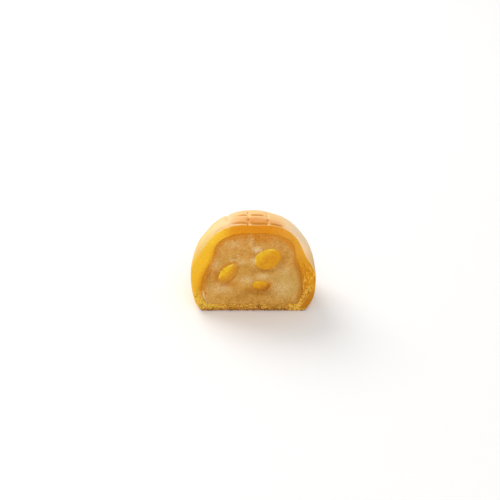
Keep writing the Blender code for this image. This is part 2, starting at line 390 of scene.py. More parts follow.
dough = {
    "grooves": (-9.7, -2.1, 4.9, 12.0),  # scored lines from front to back, by their place round the crown
    "grooveShares": (1.3, 1.0, 1.0, 0.6),  # how deep each is pressed
    "grooveBrownAndShade": (0.2, 0.7, 1.0, 0.6),  # and how much browning and painted shade it gets
    "grooveDepth": 0.3,
    "grooveHalf": 0.26,  # half of its width
    "crossGrooves": (1.4, 6.9, 14.3),  # scored lines from side to side, by their distance from the cut
    "crossDepth": 0.34,
    "crossHalf": 0.5,
    "crossSlant": 0.75,  # how much nearer to the cut the first of them runs at the right
    "browned": ((-8.2, 10.6, 1.35), (-6.4, 3.9, 1.7), (-3.8, 3.0, 1.3)),  # where the cross lines get browning and painted shade: from and to where, how much wider
    "breakHalf": 0.75,  # half of the gap in a cross line, just to the right of where it meets another
    "grooveShadows": ((-1.9, 2.9, 1.5), (5.0, 2.9, 1.35), (-2.3, 0.5, 1.0), (4.6, 0.4, 1.1)),  # spots of painted shadow on the lines: place, how dark
    "grooveShadowReach": (0.36, 0.9),
    "pillow": 0.2,  # how far the cells between the lines puff up
    "uneven": (  # swells and dips of the outline: place round the crown, half width and height
        (-12.4, 1.4, 0.14),
        (-9.7, 0.85, -0.4),
        (-19.5, 2.4, -0.15),
        (7.4, 3.6, -0.3),
        (19.5, 3.0, -0.2),
    ),
    "edgeDepth": 4.2,  # up to how far from the cut the skin is drawn in
    "shoulderLeft": (4.2, 21.2, 9.7),  # how much, at which level most, and how far up and down that reaches
    "shoulderRight": (1.5, 24.0, 6.0),
    "shoulderOut": 11.3,  # how far out they are drawn in fully
    "crown": (1.08, 1.0, 8.0),  # how much, at which place across most, and how far to both sides
    "crispRim": 0.32,  # how rounded the rim is, at the right and over the top
    "softRim": 2.4,  # and at the left, where the knife pressed it over
    "crumbTop": (4.1, 2.6),  # levels over which the broken crumb of the base ends
    "strip": ((16.8, 3.5), (0.86, -0.51)),  # middle line of a slanting strip of crumb at the right
    "stripHalf": 1.1,  # half of its width
    "ridges": (0.32, 1.7),  # how wide and how long they are on the torn right side
    "grainSizes": (1.1, 0.52),  # of the broken crumb
    "grainHeight": 0.6,
    "ridgeHeight": 0.65,
    "hollowGap": 0.1,  # how much wider than the paste's own form the hollow is
    "bandRows": 36,  # rows of faces on the cut, from the rim to the hollow
    "acrossSteps": (16, 0.2),  # faces round the crown: up to how far from it, and how far apart
    "sideStep": 0.24,  # and beyond that
    "alongSteps": ((3.2, 0.12), (19, 0.26)),  # faces away from the cut, and the last ones
    "farStep": 0.9,
    "baseStep": 0.13,  # and along the lower edge of the cut
    "hollowRows": (0.03, 0.08, 0.2, 0.4, 0.6, 0.8, 1.0),  # faces inside, as shares of its depth
    "underRings": (0.985, 0.95, 0.85, 0.65, 0.4, 0.2),  # and underneath, as shares of the outline
    "underMiddle": 0.42,  # the middle of those, as a share of the length
    "underHollow": 0.25,  # how far the underside is hollowed
    "footCrumb": (2.4, 0.3),  # levels over which the skin turns to crumb at its foot
    # what its colours follow, and what each is where nothing else is given
    "fields": {"cut": 0, "pressed": 0, "baked": 0, "inside": 0, "crumb": 1, "grain": 0.5, "ridge": 0.5},
    "skinTints": ("f5c03c", "f9d184"),  # low down and higher up
    "bakedTint": "dc8834",
    # the scored lines, with browning and painted shade in their grooves
    "lineBrownAndShadeTint": "cc7e0a",
    "outerTints": ("f4be2c", "e2a51e"),  # cut dough next to the skin, at the left and at the right
    "innerTints": ("eeaa1c", "d99314"),  # and next to the paste
    "crustTints": ("944c0a", "dc9828"),  # broken crumb: painted shade in its pits, painted light on its grains
}


def crumbMasks(x, z):
    # where the cut dough is broken crumb: the base, the left corner and a slanting strip up the right corner,
    # which stays smooth outside it. The second mask is the torn right side
    slant = outFrom(dough["strip"], x, z)
    smoothCorner = fade(x, 12, 14) * fade(slant, 0.7, 1.6)
    base = fade(z, *dough["crumbTop"]) * (1 - smoothCorner)
    sole = fade(z, 1.3, 0.7)
    corner = 0.75 * fade(x, -12.8, -15.2) * fade(z, 9.0, 4.6)
    strip = 0.85 * fade(x, 12, 14) * hump(slant, dough["stripHalf"]) * fade(z, 12, 9)
    torn = fade(x, 14.5, 17.5) * fade(z, 24.0, 16.0) * (1 - 0.8 * smoothCorner)
    return np.maximum.reduce([base, sole, corner, strip]), torn


def scoredRelief(across, along):
    # the pressed grid: cells that puff up a little between round-bottomed lines, deepest from side to side. It
    # comes back as the relief, and the browning with painted shade of the lines and of the cells
    grooves, crossGrooves = dough["grooves"], dough["crossGrooves"]
    flat = np.stack([across, along, 0 * across], axis=-1)
    wander = 0.16 * swells(flat, 5.0, 71)  # how far the lines stray
    worn = 0.75 + 0.35 * swells(flat, 2.6, 72)  # how deep they still are
    broken = 0.3 + 0.7 * fade(swells(flat, 1.5, 73), -0.1, 0.4)  # and where the long ones fail
    beyond = np.maximum(grooves[0] - across, across - grooves[-1])
    inSide = 1 - fade(beyond, -2.6, 0.6)
    inEnd = 1 - fade(along - crossGrooves[-1], 0.0, 4.5)
    nearCut = 0.35 + 0.65 * fade(along, 0.0, 1.2) + 0.7 * fade(along, 5, 8)
    longLeft, crossLeft = np.ones_like(across), np.ones_like(across)  # what the lines leave of the surface
    none = gaps = marks = grooveShadeTicks = np.zeros_like(across)
    for place, share, brown in zip(grooves, dough["grooveShares"], dough["grooveBrownAndShade"]):
        pressed = share * worn * broken * hump(across - place + wander, dough["grooveHalf"]) * inEnd * nearCut
        longLeft *= 1 - np.minimum(pressed, 1)
        grooveShadeTicks = np.maximum(grooveShadeTicks, brown * pressed * fade(pressed, 0.3, 0.8))
        gaps = np.maximum(gaps, 0.85 * hump(across - place - 0.5, dough["breakHalf"]))

    level = along + dough["crossSlant"] * fade(across, -8, 1) * fade(along, 9, 3)
    whole = 1 - gaps
    even = 0.75 + 0.25 * worn
    strengths = (0.75 + 0.25 * fade(across, -3, 5), even, even)  # how much browning and painted shade each gets
    # the first cross line goes on past the grid, with faint browning and painted shade at the left
    runsOn = (0.5 * fade(across, -16, -12) * fade(across, 15, 12), none, none)
    faint = (0.34 * fade(across, -17, -14) * fade(across, -7, -9), none, none)
    crossLines = zip(crossGrooves, dough["browned"], strengths, runsOn, faint)
    for place, (start, end, spread), strength, past, pale in crossLines:
        distance = level - place - wander
        crossLeft *= 1 - hump(distance, dough["crossHalf"]) * np.maximum(inSide * whole, past)
        wide = hump(distance, spread * dough["crossHalf"])
        ends = fade(across, start - 1.5, start + 3.0) * fade(across, end + 1.0, end - 1.4)
        ends = np.maximum(ends, 0.3 * inSide)
        line = wide * strength * ends * whole * fade(along, 0.0, 0.7)
        marks = np.maximum.reduce([marks, line, wide * pale])
    # spots of painted shadow on the scored lines
    for *shadowPlace, dark in dough["grooveShadows"]:
        grooveShadeTicks = np.maximum(grooveShadeTicks, dark * spot(across, along, shadowPlace, dough["grooveShadowReach"]))

    column = np.interp(across, grooves, range(len(grooves))) % 1
    row = np.interp(level, (0.0, *crossGrooves), range(len(crossGrooves) + 1))
    dome = (1 - np.abs(2 * column - 1) ** 4) * (1 - np.abs(2 * (row % 1) - 1) ** 4)
    dome = dome * (1 - fade(beyond, -0.1, 0.0)) * (row < len(crossGrooves))
    relief = dough["pillow"] * dome - dough["grooveDepth"] * (1 - longLeft)
    relief = relief - dough["crossDepth"] * (1 - crossLeft)
    for place, half, height in dough["uneven"]:
        relief = relief + height * hump(across - place, half) * fade(along, 1.0, 6.0) * fade(along, 26, 16)

    # cells with browning, deeper towards the cut and pale at their far rim: painted shade and painted light
    # over it
    firstRow = 0.25 * fade(row, 1.0, 0.6) + fade(row, 0.9, 1.1) * fade(row, 1.95, 1.35)
    secondRow = 0.12 * fade(row, 2.1, 2.2) * fade(row, 2.95, 2.5)
    middle = 0.3 + 0.7 * hump(across - 1.0, 6.5)
    baked = (firstRow + secondRow) * (1 - fade(beyond, -2.5, -0.2)) * middle
    return relief, np.maximum(marks, grooveShadeTicks), baked


def drawInEdge(points):
    # the skin next to the cut is pulled towards the middle, most at shoulder height and at the crown
    x, y, z = points[..., 0], points[..., 1], points[..., 2]
    near = np.clip(1 - y / dough["edgeDepth"], 0, 1) ** 2
    bothShoulders = zip(dough["shoulderLeft"], dough["shoulderRight"])
    depth, level, spread = (np.where(x < 0, left, right) for left, right in bothShoulders)
    side = depth * np.clip(np.abs(x) / dough["shoulderOut"], 0, 1)
    depth, middle, reach = dough["crown"]
    crown = depth * rise(loaf, z) * hump(x - middle, reach)
    pull = (side * hump(z - level, spread) + crown) * near
    radius = np.maximum(np.hypot(x, z - loaf["bulge"]), tiny)
    moved = points.copy()
    moved[..., 0] -= pull * x / radius
    moved[..., 2] -= pull * np.clip((z - loaf["bulge"]) / radius, 0, 1)
    return moved


def rimSoftness(x, z):  # how rounded the rim is at a place round the cut
    left = fade(x, -6, -12) * fade(z, 1.5, 9) * (1 - 0.45 * fade(z, 26, 33))
    return dough["crispRim"] + (dough["softRim"] - dough["crispRim"]) * left


def cutColour(x, z, inside):
    # 0 on the skin to 1 on the cut, by the distance in from the rim: crisp over the top and at the right,
    # soft at the left, and there further out on the skin the lower it is
    left = fade(x, -5.5, -9)
    lowRight = fade(x, 5, 12) * fade(z, 15.5, 9)
    topRight = fade(x, 3, 8) * fade(z, 15, 20)
    ragged = 0.4 * swells(np.stack([x, inside, z], axis=-1), 2.5, 41)
    shift = left * (0.45 + 0.15 * (33 - z) + 0.5 * ragged) + (1.5 + ragged) * lowRight - 0.2 * topRight
    soft = 0.15 + 0.4 * left + 0.4 * lowRight
    return fade(inside + shift, -soft, soft)


def roundOff(points, distance, softness, inward):
    # a square corner becomes a hyperbola: both legs move in and back by what the curve lies off the corner
    shift = (np.sqrt(distance**2 + softness**2) - distance) / 2
    return points + (inward + np.array([0, 1, 0])) * shift[..., None]


def tornBand(points, distance, around):
    # the cut dough: smooth where the knife slid, crumbs low down, torn into long ridges at the right. It comes
    # back as how far it stands out, and the masks and heights that its colours follow
    flat = points * inPlane
    crumb, torn = crumbMasks(points[..., 0], points[..., 2])
    large, small = dough["grainSizes"]
    grain = fade(0.5 * grains(flat, large, 21, 0.95) + 0.5 * grains(flat, small, 25, 0.95), 0.4, 1.0)
    clump = 0.75 + 0.6 * swells(flat, 2.0, 27)
    wide, long = dough["ridges"]
    along = np.stack([distance / wide, around / long, 0 * distance], axis=-1)
    ridge = 0.5 + 0.28 * swells(along, 1.0, 37) + 0.22 * swells(along * np.array([1.4, 3.2, 1]), 1.0, 38)
    smooth = 0.06 * swells(flat, 1.8, 31) + 0.02 * swells(flat, 0.6, 33)
    stand = crumb * clump * (dough["grainHeight"] * grain - 0.26)
    stand = stand + torn * (1 - crumb) * dough["ridgeHeight"] * (ridge - 0.5) + (1 - crumb) * smooth
    return stand * fade(distance, 0.0, 0.5), crumb, grain, 0.5 + torn * (1 - 0.7 * crumb) * (ridge - 0.5)


def makeDough(paint):
    # the skin is the draped loaf with its relief. Its rim and the edge of its base are a loop round the cut:
    # from there a band goes in to the mouth of the hollow, and rings close the skin underneath
    arc = profile(loaf)[2][-1]
    endArc = arc * loaf["length"] / loaf["halfWidth"]
    half = graded(dough["acrossSteps"], (arc, dough["sideStep"]))
    across = np.concatenate([-half[:0:-1], half])
    along = graded(*dough["alongSteps"], (endArc, dough["farStep"]))
    a, b = np.meshgrid(across / arc, along / endArc, indexing="ij")
    relief, pressed, baked = scoredRelief(a * arc, b * endArc)
    skin = drape(loaf, a, b)
    normal = outward(loaf, a, b)
    foot = fade(skin[..., 2], *dough["footCrumb"])
    relief = relief + 0.10 * swells(skin, 8.0, 1) + 0.03 * swells(skin, 2.1, 2)
    relief = relief + foot * (0.24 * grains(skin, 0.9, 5) - 0.14)
    skin = skin + normal * relief[..., None]
    skin[:, 0, 1] = 0.0
    skin[0, :, 2] = skin[-1, :, 2] = skin[:, -1, 2] = loaf["bottom"]
    skin = drawInEdge(skin)

    cavity = grown(filling, dough["hollowGap"])
    mouth = drape(cavity, across / arc, np.zeros_like(across))
    baseCount = round(2 * loaf["foot"] / dough["baseStep"])
    step = np.linspace(0, 1, baseCount + 1)[1:-1, None]
    loop, innerLoop = (
        np.concatenate([arch, arch[-1] + (arch[0] - arch[-1]) * step]) for arch in (skin[:, 0], mouth)
    )
    wall = np.linalg.norm(innerLoop - loop, axis=-1)
    inward = (innerLoop - loop) / wall[:, None]
    softness = rimSoftness(loop[:, 0], loop[:, 2])

    sheet = Sheet(**dough["fields"])
    distance = skin[..., 1]
    count = len(across)
    skin = roundOff(skin, distance, softness[:count, None], inward[:count, None])
    skin[..., 2] = np.maximum(skin[..., 2], loaf["bottom"])
    cut = cutColour(skin[..., 0], skin[..., 2], -distance)
    outer = sheet.add(skin, cut=cut, pressed=pressed, baked=baked, inside=-distance / doughWall, crumb=foot)

    share = np.linspace(0, 1, dough["bandRows"] + 1)[None, 1:] ** 1.15
    band = loop[:, None] + (innerLoop - loop)[:, None] * share[..., None]
    distance = share * wall[:, None]
    around = np.cumsum(np.linalg.norm(np.diff(loop, axis=0, prepend=loop[:1]), axis=-1))
    band = roundOff(band, distance, softness[:, None], inward[:, None])
    stand, crumb, grain, ridge = tornBand(band, distance, around[:, None] + 0 * distance)
    lift = crumb * 0.3 * swells(band * inPlane, 0.8, 35)
    band[..., 1] += 0.14 * fade(share, 0.9, 1.0) * (1 - crumb) - stand
    band[..., 2] += lift * fade(band[..., 2], 0.0, 0.8)
    cut = cutColour(band[..., 0], band[..., 2], distance)
    inner = sheet.add(band, cut=cut, inside=share, crumb=crumb, grain=grain, ridge=ridge)

    baseRim = roundOff(loop[count:], np.zeros(baseCount - 1), softness[count:], inward[count:])
    ragged = baseRim * inPlane
    baseRim[:, 1] -= 0.55 * grains(ragged, 1.2, 51) - 0.3
    baseRow = sheet.add(baseRim, cut=0.9, grain=grains(ragged, 0.8, 52))
    rimRow = np.concatenate([outer[:, 0], baseRow])
    grid = np.concatenate([rimRow[:, None], inner], axis=1)
    sheet.skin(np.concatenate([grid, grid[:1]]))
    sheet.skin(outer)

    a, b = np.meshgrid(across / arc, dough["hollowRows"], indexing="ij")
    hollow = sheet.add(drape(cavity, a, b), cut=1.0, inside=1.0, crumb=0.0)
    hollow = np.concatenate([inner[:count, -1:], hollow], axis=1)
    sheet.skin(hollow)
    sheet.cap(np.concatenate([inner[count:, -1], hollow[0, :-1], hollow[:-1, -1], hollow[-1, ::-1]]))

    outline = np.concatenate([outer[:1, 0], outer[0, 1:], outer[1:, -1], outer[-1, -2::-1], baseRow])
    edge = np.concatenate(sheet.points)[outline]
    middle = np.array([0.0, loaf["length"] * dough["underMiddle"], 0.0])
    loops = [outline]
    for share in dough["underRings"]:
        ring = middle + (edge - middle) * share
        hollowed = dough["underHollow"] * fade(share, 1.0, 0.9)
        ring[:, 2] = hollowed * (0.6 + 0.4 * swells(ring, 3.0, 61))
        loops.append(sheet.add(ring))
    under = np.stack(loops, axis=1)
    sheet.skin(np.concatenate([under, under[:1]]))
    tip = sheet.add(middle[None] + np.array([0, 0, 0.2]))
    sheet.fan(loops[-1], tip[0])
    return makePiece("doughSkin", sheet, paint, "dough", "dough")


def paintDough():
    material, shader, start, place = newPaint("dough", 0.1, 0.01, 0.2)
    x, y, z = axesOf(place)
    mottle, fine = place.noise(4.0, 3.0), place.noise(0.6, 3.0, 0.6)
    speck, broad, streak = place.cells(0.5), place.noise(9.0, 2.0), place.noise(1.2, 3.0, 0.6)
    dust, lumps = place.noise(0.33, 2.0), place.noise(0.9, 2.0)
    cut, pressed, baked, inside, crumb, grain, ridge = start.fields(*dough["fields"])

    # the baked skin: paler and deeper places, the cells with browning and painted shade,
    # and the pressed lines with browning and painted shade
    skin = z.ease(14, 27).between(*dough["skinTints"])
    skin = skin.layers(
        ("e6bc78", x.ease(-16, -22) * z.ease(17, 24) * 0.3),
        ("f2cc98", x.ease(2, 15) * 0.9),
        ("f8e0bc", x.ease(9, 16) * z.ease(22, 28) * 0.6),
        ("d8ae74", x.ease(15, 19) * z.ease(24, 19) * 0.6),
        ("f3c890", z.ease(31.0, 35.0) * 0.6),
        ("f6dec4", x.ease(-4, -9) * z.ease(28, 32) * 0.25),
        # cells with browning, painted shade on their near sides and painted light at their far rims
        (dough["bakedTint"], baked * (0.35 + 0.9 * streak)),
        ("e8942a", y.ease(-12.6, -14.4) * z.ease(30, 33) * 0.3),
        # the pressed lines: browning with painted shade, then painted shadow where they are darkest
        (dough["lineBrownAndShadeTint"], pressed.ease(0.0, 0.95) * 0.95),
        ("94600c", pressed.ease(0.95, 1.4) * 0.8),
        ("c89040", z.ease(2.4, 0.0) * 0.6),
        ("eeb45c", broad.ease(0.45, 0.7) * y.ease(-9, -3) * 0.35),
    )
    skin = skin.times(0.76 + 0.16 * mottle + 0.2 * fine + 0.12 * dust)

    # the cut dough: deeper towards the paste, darker at the lower right with painted shade, golden over the
    # top, with painted light along its ridges and painted shade between them
    topLeft = z.ease(24, 28) * x.ease(-5, -9)
    outerHalf = x.ease(-9, 4).between(*dough["outerTints"])
    outerHalf = outerHalf.layers(("fbcc36", topLeft), ("ecb224", z.ease(20, 10) * x.ease(-6, -10) * 0.7))
    innerHalf = x.ease(-9, 4).between(*dough["innerTints"])
    innerHalf = innerHalf.layers(("f8c034", topLeft * 0.6))
    face = inside.ease(-0.45, 0.6).between(outerHalf, innerHalf)
    face = face.layers(
        ("df8a14", z.ease(27, 33) * x.ease(-12, -6) * x.ease(16, 9) * 0.8),
        ("bd7410", inside.ease(0.7, 1.0) * z.ease(32, 14) * 0.8),
        ("c07c10", inside.ease(0.1, 0.9) * z.ease(23, 12) * z.ease(3, 10) * x.ease(-6, -11) * 0.7),
        ("eeb04c", x.ease(6, 12) * z.ease(18, 26) * 0.35),
        # painted shade at the lower right, low down near the floor
        ("b87414", x.ease(9, 17) * z.ease(12, 5) * 0.85),
        # painted light on the torn ridges and painted shade between them
        ("f4b850", ridge.ease(0.58, 0.7) * 0.85),
        ("b8741a", ridge.ease(0.44, 0.32) * 0.55),
        ("c8861c", x.ease(-6, 6) * mottle.ease(0.55, 0.75) * 0.35),
        ("ecaf3a", x.ease(-6, 6) * mottle.ease(0.45, 0.25) * 0.35),
    )

    # the broken crumb: painted shade in its pits, painted light and highlights on its grains,
    # yellow at the left corner, darkest at the sole with painted shade
    # yellow crumb at the left corner, with painted shade in its pits and painted light on its grains
    yellowCrust = grain.ease(0.1, 0.7).between("b8862a", "e8bf4c")
    crust = grain.ease(0.1, 0.7).between(*dough["crustTints"])
    crust = crust.layers(
        ("96480c", lumps.ease(0.5, 0.64) * 0.6),
        ("74440a", x.ease(-12, -4) * x.ease(12, 7) * 0.33),
        # painted highlights on the lit grains
        ("f4c860", grain.ease(0.4, 0.75) * fine.ease(0.44, 0.58) * 0.9),
        # painted shade along the sole, next to the floor
        ("7c3e12", z.ease(1.7, 0.3) * 0.7),
        ("d89460", mottle.ease(0.5, 0.58) * z.ease(1.5, 0.6) * 0.45),
    )
    crust = crust.blend(yellowCrust, x.ease(-9, -15) * z.ease(0.6, 2.0) * (0.6 + 0.4 * mottle.ease(0.6, 0.4)))
    crust = crust.layers(
        ("a87838", x.ease(5, 9) * x.ease(14, 12) * 0.3),
        ("e88c40", lumps.ease(0.47, 0.36) * fine.ease(0.46, 0.56) * z.ease(3.4, 2.0) * 0.6),
        ("d9a030", x.ease(13, 15) * 0.25),
        # painted shade in the pits of the strip and painted highlights on its grains
        ("96560c", x.ease(12, 14) * grain.ease(0.5, 0.2) * 0.6),
        ("f8cc54", x.ease(12, 14) * grain.ease(0.6, 0.85) * 0.6),
    )
    face = face.blend(crust, crumb * 0.95)
    face = face.times(0.68 + 0.34 * fine + 0.3 * dust)

    colour = skin.blend(face, cut)
    roughness = 0.45 + 0.2 * fine
    relief = fine * 0.5 + (1 - speck) * 0.3 * cut + place.noise(0.25, 2.0) * 0.3
    finishPaint(start, shader, colour, roughness, relief, 0.10)
    return material


chestnuts = {  # in the form of the solids
    "chestnut_upper": {
        "piece": "upperChestnut",
        "middle": (5.2, 1.2, 21.3),  # its depth counts from the cut
        "radii": (5.3, 4.0, 4.3),
        "tilt": 36.0,
        "egg": 0.10,  # how much thicker one end is
        "corners": 0.06,  # how far it swells three times round
        "flat": 0.4,  # how far its own cut face stands out, where the knife went through
        "core": ((6.5, 22.1), (3.0, 2.3)),  # the deeper golden part: its middle and reach on the cut
        "under": (0.6, -0.8, 0.1),  # the way in which the paste covers it, and how deep that side lies
        "gold": (-0.75, 0.0),  # from where to where, that way, it turns golden
        "merge": (0.65, 1.1),  # and goes under the paste
        "shade": 0.1,  # how much painted shade darkens its covered side
        "seed": 101,
    },
    "chestnut_left": {
        "piece": "leftChestnut",
        "middle": (-8.4, 1.9, 15.4),
        "radii": (5.7, 3.2, 3.8),
        "tilt": 48.0,
        "egg": -0.12,
        "corners": 0.0,
        "flat": None,
        "core": ((-10.0, 12.0), (2.4, 1.4)),
        "under": (0.74, -0.67, 0.5),
        "gold": (-0.6, -0.15),
        "merge": (-0.3, 0.3),
        "shade": 0.05,
        "seed": 111,
    },
    "chestnut_lower": {
        "piece": "lowerChestnut",
        "middle": (2.9, 1.7, 10.6),
        "radii": (4.3, 2.8, 2.6),
        "tilt": -8.0,
        "egg": 0.10,
        "corners": 0.0,
        "flat": None,
        "core": ((3.4, 9.0), (2.6, 1.2)),
        "under": (0.5, -0.87, 0.2),
        "gold": (-1.2, -0.3),
        "merge": (-0.1, 0.6),
        "shade": 1.0,
        "seed": 121,
    },
}

nutLooks = {
    "around": 140,  # points round each and from pole to pole
    "along": 70,
    "bodyTints": ("e8b404", "f4cc30"),  # deeper and lighter flesh
    "coreTint": "d88f0c",
    "coveredTint": "cc8a2a",  # where it goes under the paste
    "shadedTint": "b06a0c",
    # painted highlight along the lit side of the rim
    "rimHighlightTint": "fbda62",
}


def nutPlace(nut, x, z):
    # how far out a place on the cut lies in the nut's tapered ellipse, 1 on its line, how far towards its
    # covered side, and how far out the nut's surface comes through the plane of the cut
    turn = math.radians(nut["tilt"])
    dx, dz = x - nut["middle"][0], z - nut["middle"][2]
    along = (dx * math.cos(turn) + dz * math.sin(turn)) / nut["radii"][0]
    side = (dz * math.cos(turn) - dx * math.sin(turn)) / nut["radii"][2]
    side = side / (1 + nut["egg"] * np.clip(along, -1, 1))
    reach = np.hypot(along, side)
    reach = reach / (1 + nut["corners"] * np.minimum(reach, 1) ** 2 * np.cos(3 * np.arctan2(side, along)))
    toward = (dx * nut["under"][0] + dz * nut["under"][1]) / nut["radii"][2]
    return reach, toward, math.sqrt(1 - (nut["middle"][1] / nut["radii"][1]) ** 2)


def makeChestnut(node, paint):
    # an egg, from its pole that faces out of the cut to the one at the back: a tilted and tapered ellipse in
    # plane, swelling three times round, and where the knife cut it with a flat face that has a rounded rim
    nut = chestnuts[node]
    turn = math.radians(nut["tilt"])
    fromPole = np.linspace(0, math.pi, nutLooks["along"])[1:-1]
    circle = np.linspace(0, 2 * math.pi, nutLooks["around"] + 1)[:-1]
    t, angle = np.meshgrid(fromPole, circle, indexing="ij")
    unit = np.stack([np.sin(t) * np.cos(angle), -np.cos(t), np.sin(t) * np.sin(angle)], axis=-1)
    poles = np.array([[0.0, -1.0, 0.0], [0.0, 1.0, 0.0]])

    def body(unit):
        taper = 1 + nut["egg"] * unit[..., 0]
        offAxis = unit[..., 0] ** 2 + unit[..., 2] ** 2
        corner = 1 + nut["corners"] * offAxis * np.cos(3 * np.arctan2(unit[..., 2], unit[..., 0]))
        local = unit * np.array(nut["radii"])
        local[..., 1:] *= taper[..., None]
        local[..., ::2] *= corner[..., None]
        lumpy = 1 + 0.05 * swells(unit, 0.8, nut["seed"]) + 0.016 * swells(unit, 0.25, nut["seed"] + 1)
        local = local * lumpy[..., None]
        x = local[..., 0] * math.cos(turn) - local[..., 2] * math.sin(turn)
        z = local[..., 0] * math.sin(turn) + local[..., 2] * math.cos(turn)
        y = local[..., 1] + nut["middle"][1]
        toward = (x * nut["under"][0] + z * nut["under"][1]) / nut["radii"][2]
        y = y + nut["under"][2] * fade(toward, -0.2, 1.0) * fade(unit[..., 1], 0.3, -0.3)
        if nut["flat"] is not None:
            reach = np.hypot(unit[..., 0], unit[..., 2])
            face = -nut["flat"] + 0.3 * (1 - fade(reach, 0.2, 0.85))
            face = face + 0.09 * swells(unit, 0.3, nut["seed"] + 2)
            y = face + np.log1p(np.exp((y - face) / 0.2)) * 0.2  # the larger, rounded where they meet
        return np.stack([x + nut["middle"][0], y, z + nut["middle"][2]], axis=-1), toward

    def shades(points, toward):  # how golden, how far under the paste, how dark with painted shade, and the painted highlight near the lit rim
        x, z = points[..., 0], points[..., 2]
        uneven = toward + 0.14 * swells(points, 1.6, nut["seed"] + 3)
        gold = np.maximum(spot(x, z, *nut["core"]), 0.8 * fade(uneven, *nut["gold"]))
        reach, _, mouth = nutPlace(nut, x, z)
        rim = hump(reach / mouth - 0.93, 0.09) * fade(toward, 0.0, -0.5) * (1 - nut["shade"])
        dark = nut["shade"] * fade(uneven, -0.3, 0.7)
        return {"gold": gold, "merge": fade(uneven, *nut["merge"]), "shade": dark, "rim": rim}

    sheet = Sheet()
    parts = (body(unit), body(poles))
    numbers, ends = (sheet.add(points, **shades(points, toward)) for points, toward in parts)
    sheet.skin(np.concatenate([numbers, numbers[:, :1]], axis=1))
    sheet.fan(numbers[0], ends[0])
    sheet.fan(numbers[-1], ends[1])
    return makePiece(nut["piece"], sheet, paint, "chestnut", node)


def paintChestnut():
    material, shader, start, place = newPaint("chestnut", 0.14, 0.04, 0.25)
    cloud, streak, fine = place.noise(1.8, 3.0), place.noise(1.2, 3.0, 0.6), place.noise(0.45, 2.0)
    gold, merge, shade, rim = start.fields("gold", "merge", "shade", "rim")
    colour = cloud.ease(0.35, 0.7).between(*nutLooks["bodyTints"])
    colour = colour.layers(
        (nutLooks["coreTint"], gold),
        ("cc7f14", gold * cloud.ease(0.45, 0.7) * 0.5),
        (nutLooks["coveredTint"], merge * 0.95),
        # painted shade on the covered side, and the painted highlight on the lit rim
        (nutLooks["shadedTint"], shade),
        (nutLooks["rimHighlightTint"], rim * fine.ease(0.44, 0.6) * 0.8),
        ("f0c030", streak.ease(0.5, 0.68) * 0.22),
        ("c4780a", streak.ease(0.5, 0.34) * 0.2),
    )
    colour = colour.times(0.8 + 0.4 * fine)
    roughness = 0.34 + 0.2 * cloud
    finishPaint(start, shader, colour, roughness, fine * 0.6 + cloud + streak, 0.12)
    return material


paste = {
    "shoulder": 0.42,  # where the sides of the grid meet its top, as a share of the way to the foot
    "pointsAcross": 281,
    "pointsUp": 211,
    "depths": (0.01, 0.03, 0.08, 0.16, 0.28, 0.42, 0.56, 0.7, 0.85, 1.0),  # rows of faces behind the cut
    "overlap": 0.18,  # grown by this, the paste meets the dough all round
    "sag": 0.8,  # how far its lower edge goes down behind the crumbs
    "swell": 0.24,
    "grain": 0.13,
    "pocket": 1.2,  # how deep the chestnuts' places are
    "curl": 0.5,  # how far its edge curls out low at the left
    "ring": ((-6.4, 21.7), 1.3, 0.12),  # a round smear: its middle, radius and height
    "crownLumps": ((3.6, 30.0), (3.4, 1.8)),
    "lowCorner": ((-16.2, 4.9), (-0.80, -0.59)),  # the line past which crumbs lie over it
    "goldenAndShadowSpots": (  # how strong each is, and its middle and reach on the cut
        (0.9, (-13.0, 14.4), (1.2, 3.2)),
        # painted shadow below the lower chestnut, golden brown
        (0.75, (3.4, 8.9), (4.0, 1.2)),
        (0.6, (6.2, 11.0), (1.3, 1.3)),
        # painted shadow below the left chestnut
        (0.95, (-9.3, 11.2), (2.7, 1.4)),
    ),
    "brownSpots": (
        (0.7, (2.0, 7.6), (6.0, 1.7)),
        (0.5, (-4.2, 5.8), (3.0, 1.8)),
        # painted shadow below the upper chestnut
        (0.55, (0.8, 16.4), (2.0, 1.6)),
        (0.75, (4.6, 16.7), (4.4, 0.9)),
        (0.45, (-13.0, 14.6), (0.9, 2.8)),
        # painted shadow below the lower chestnut and the left one
        (0.85, (4.0, 8.5), (3.0, 1.0)),
        (0.6, (-9.5, 11.1), (2.0, 1.0)),
        (0.4, (-15.5, 13.0), (2.0, 4.5)),
        (0.5, (9.8, 20.0), (2.2, 3.0)),
    ),
    "paleAndHighlightSpots": (
        (0.8, (0.5, 20.6), (1.3, 1.2)),
        # painted highlight on the paste just above the upper chestnut
        (0.95, (1.5, 25.3), (1.5, 1.1)),
        (0.4, (10.5, 9.5), (4.0, 3.0)),
        (0.3, (-13.3, 19.0), (1.6, 2.0)),
        (0.35, (11.4, 16.4), (2.2, 1.8)),
        (0.5, (-2.3, 13.0), (2.4, 1.4)),
        (0.45, (-11.6, 9.3), (3.6, 2.0)),
        (0.35, (-6.6, 27.2), (2.0, 1.4)),
        (0.45, (-4.2, 19.9), (1.4, 1.0)),
        (0.5, (3.3, 14.3), (2.8, 1.2)),
        (0.4, (-0.6, 28.5), (0.5, 2.2)),
    ),
    "bodyTints": ("c48c32", "d8a552"),
    "goldenTint": "d08419",
    "brownTint": "a86a0c",
    "paleTint": "e6c890",
}


def lowCorner(x, z):  # the lower left corner of the paste, where crumbs lie over it
    return fade(outFrom(paste["lowCorner"], x, z), -0.35, 0.4) * fade(z, 1.0, 2.5)


def edgeDistance(form, x, z):
    # how far a place on the cut lies inside the outline: from its distances sideways and upwards to it
    width, height, _ = profile(form)
    x = x - form["lean"] * rise(form, z)
    sideways = np.interp(z, height[::-1], width[::-1]) - drawnIn(form, z) + spreadOut(form, x, z) - np.abs(x)
    upwards = np.interp(np.abs(x), width[:profilePoints], height[:profilePoints]) - z
    sideways, upwards = np.maximum(sideways, tiny), np.maximum(upwards, tiny)
    slant = sideways * upwards / np.hypot(sideways, upwards)
    return np.maximum(np.minimum(slant, z - form["bottom"]), 0)


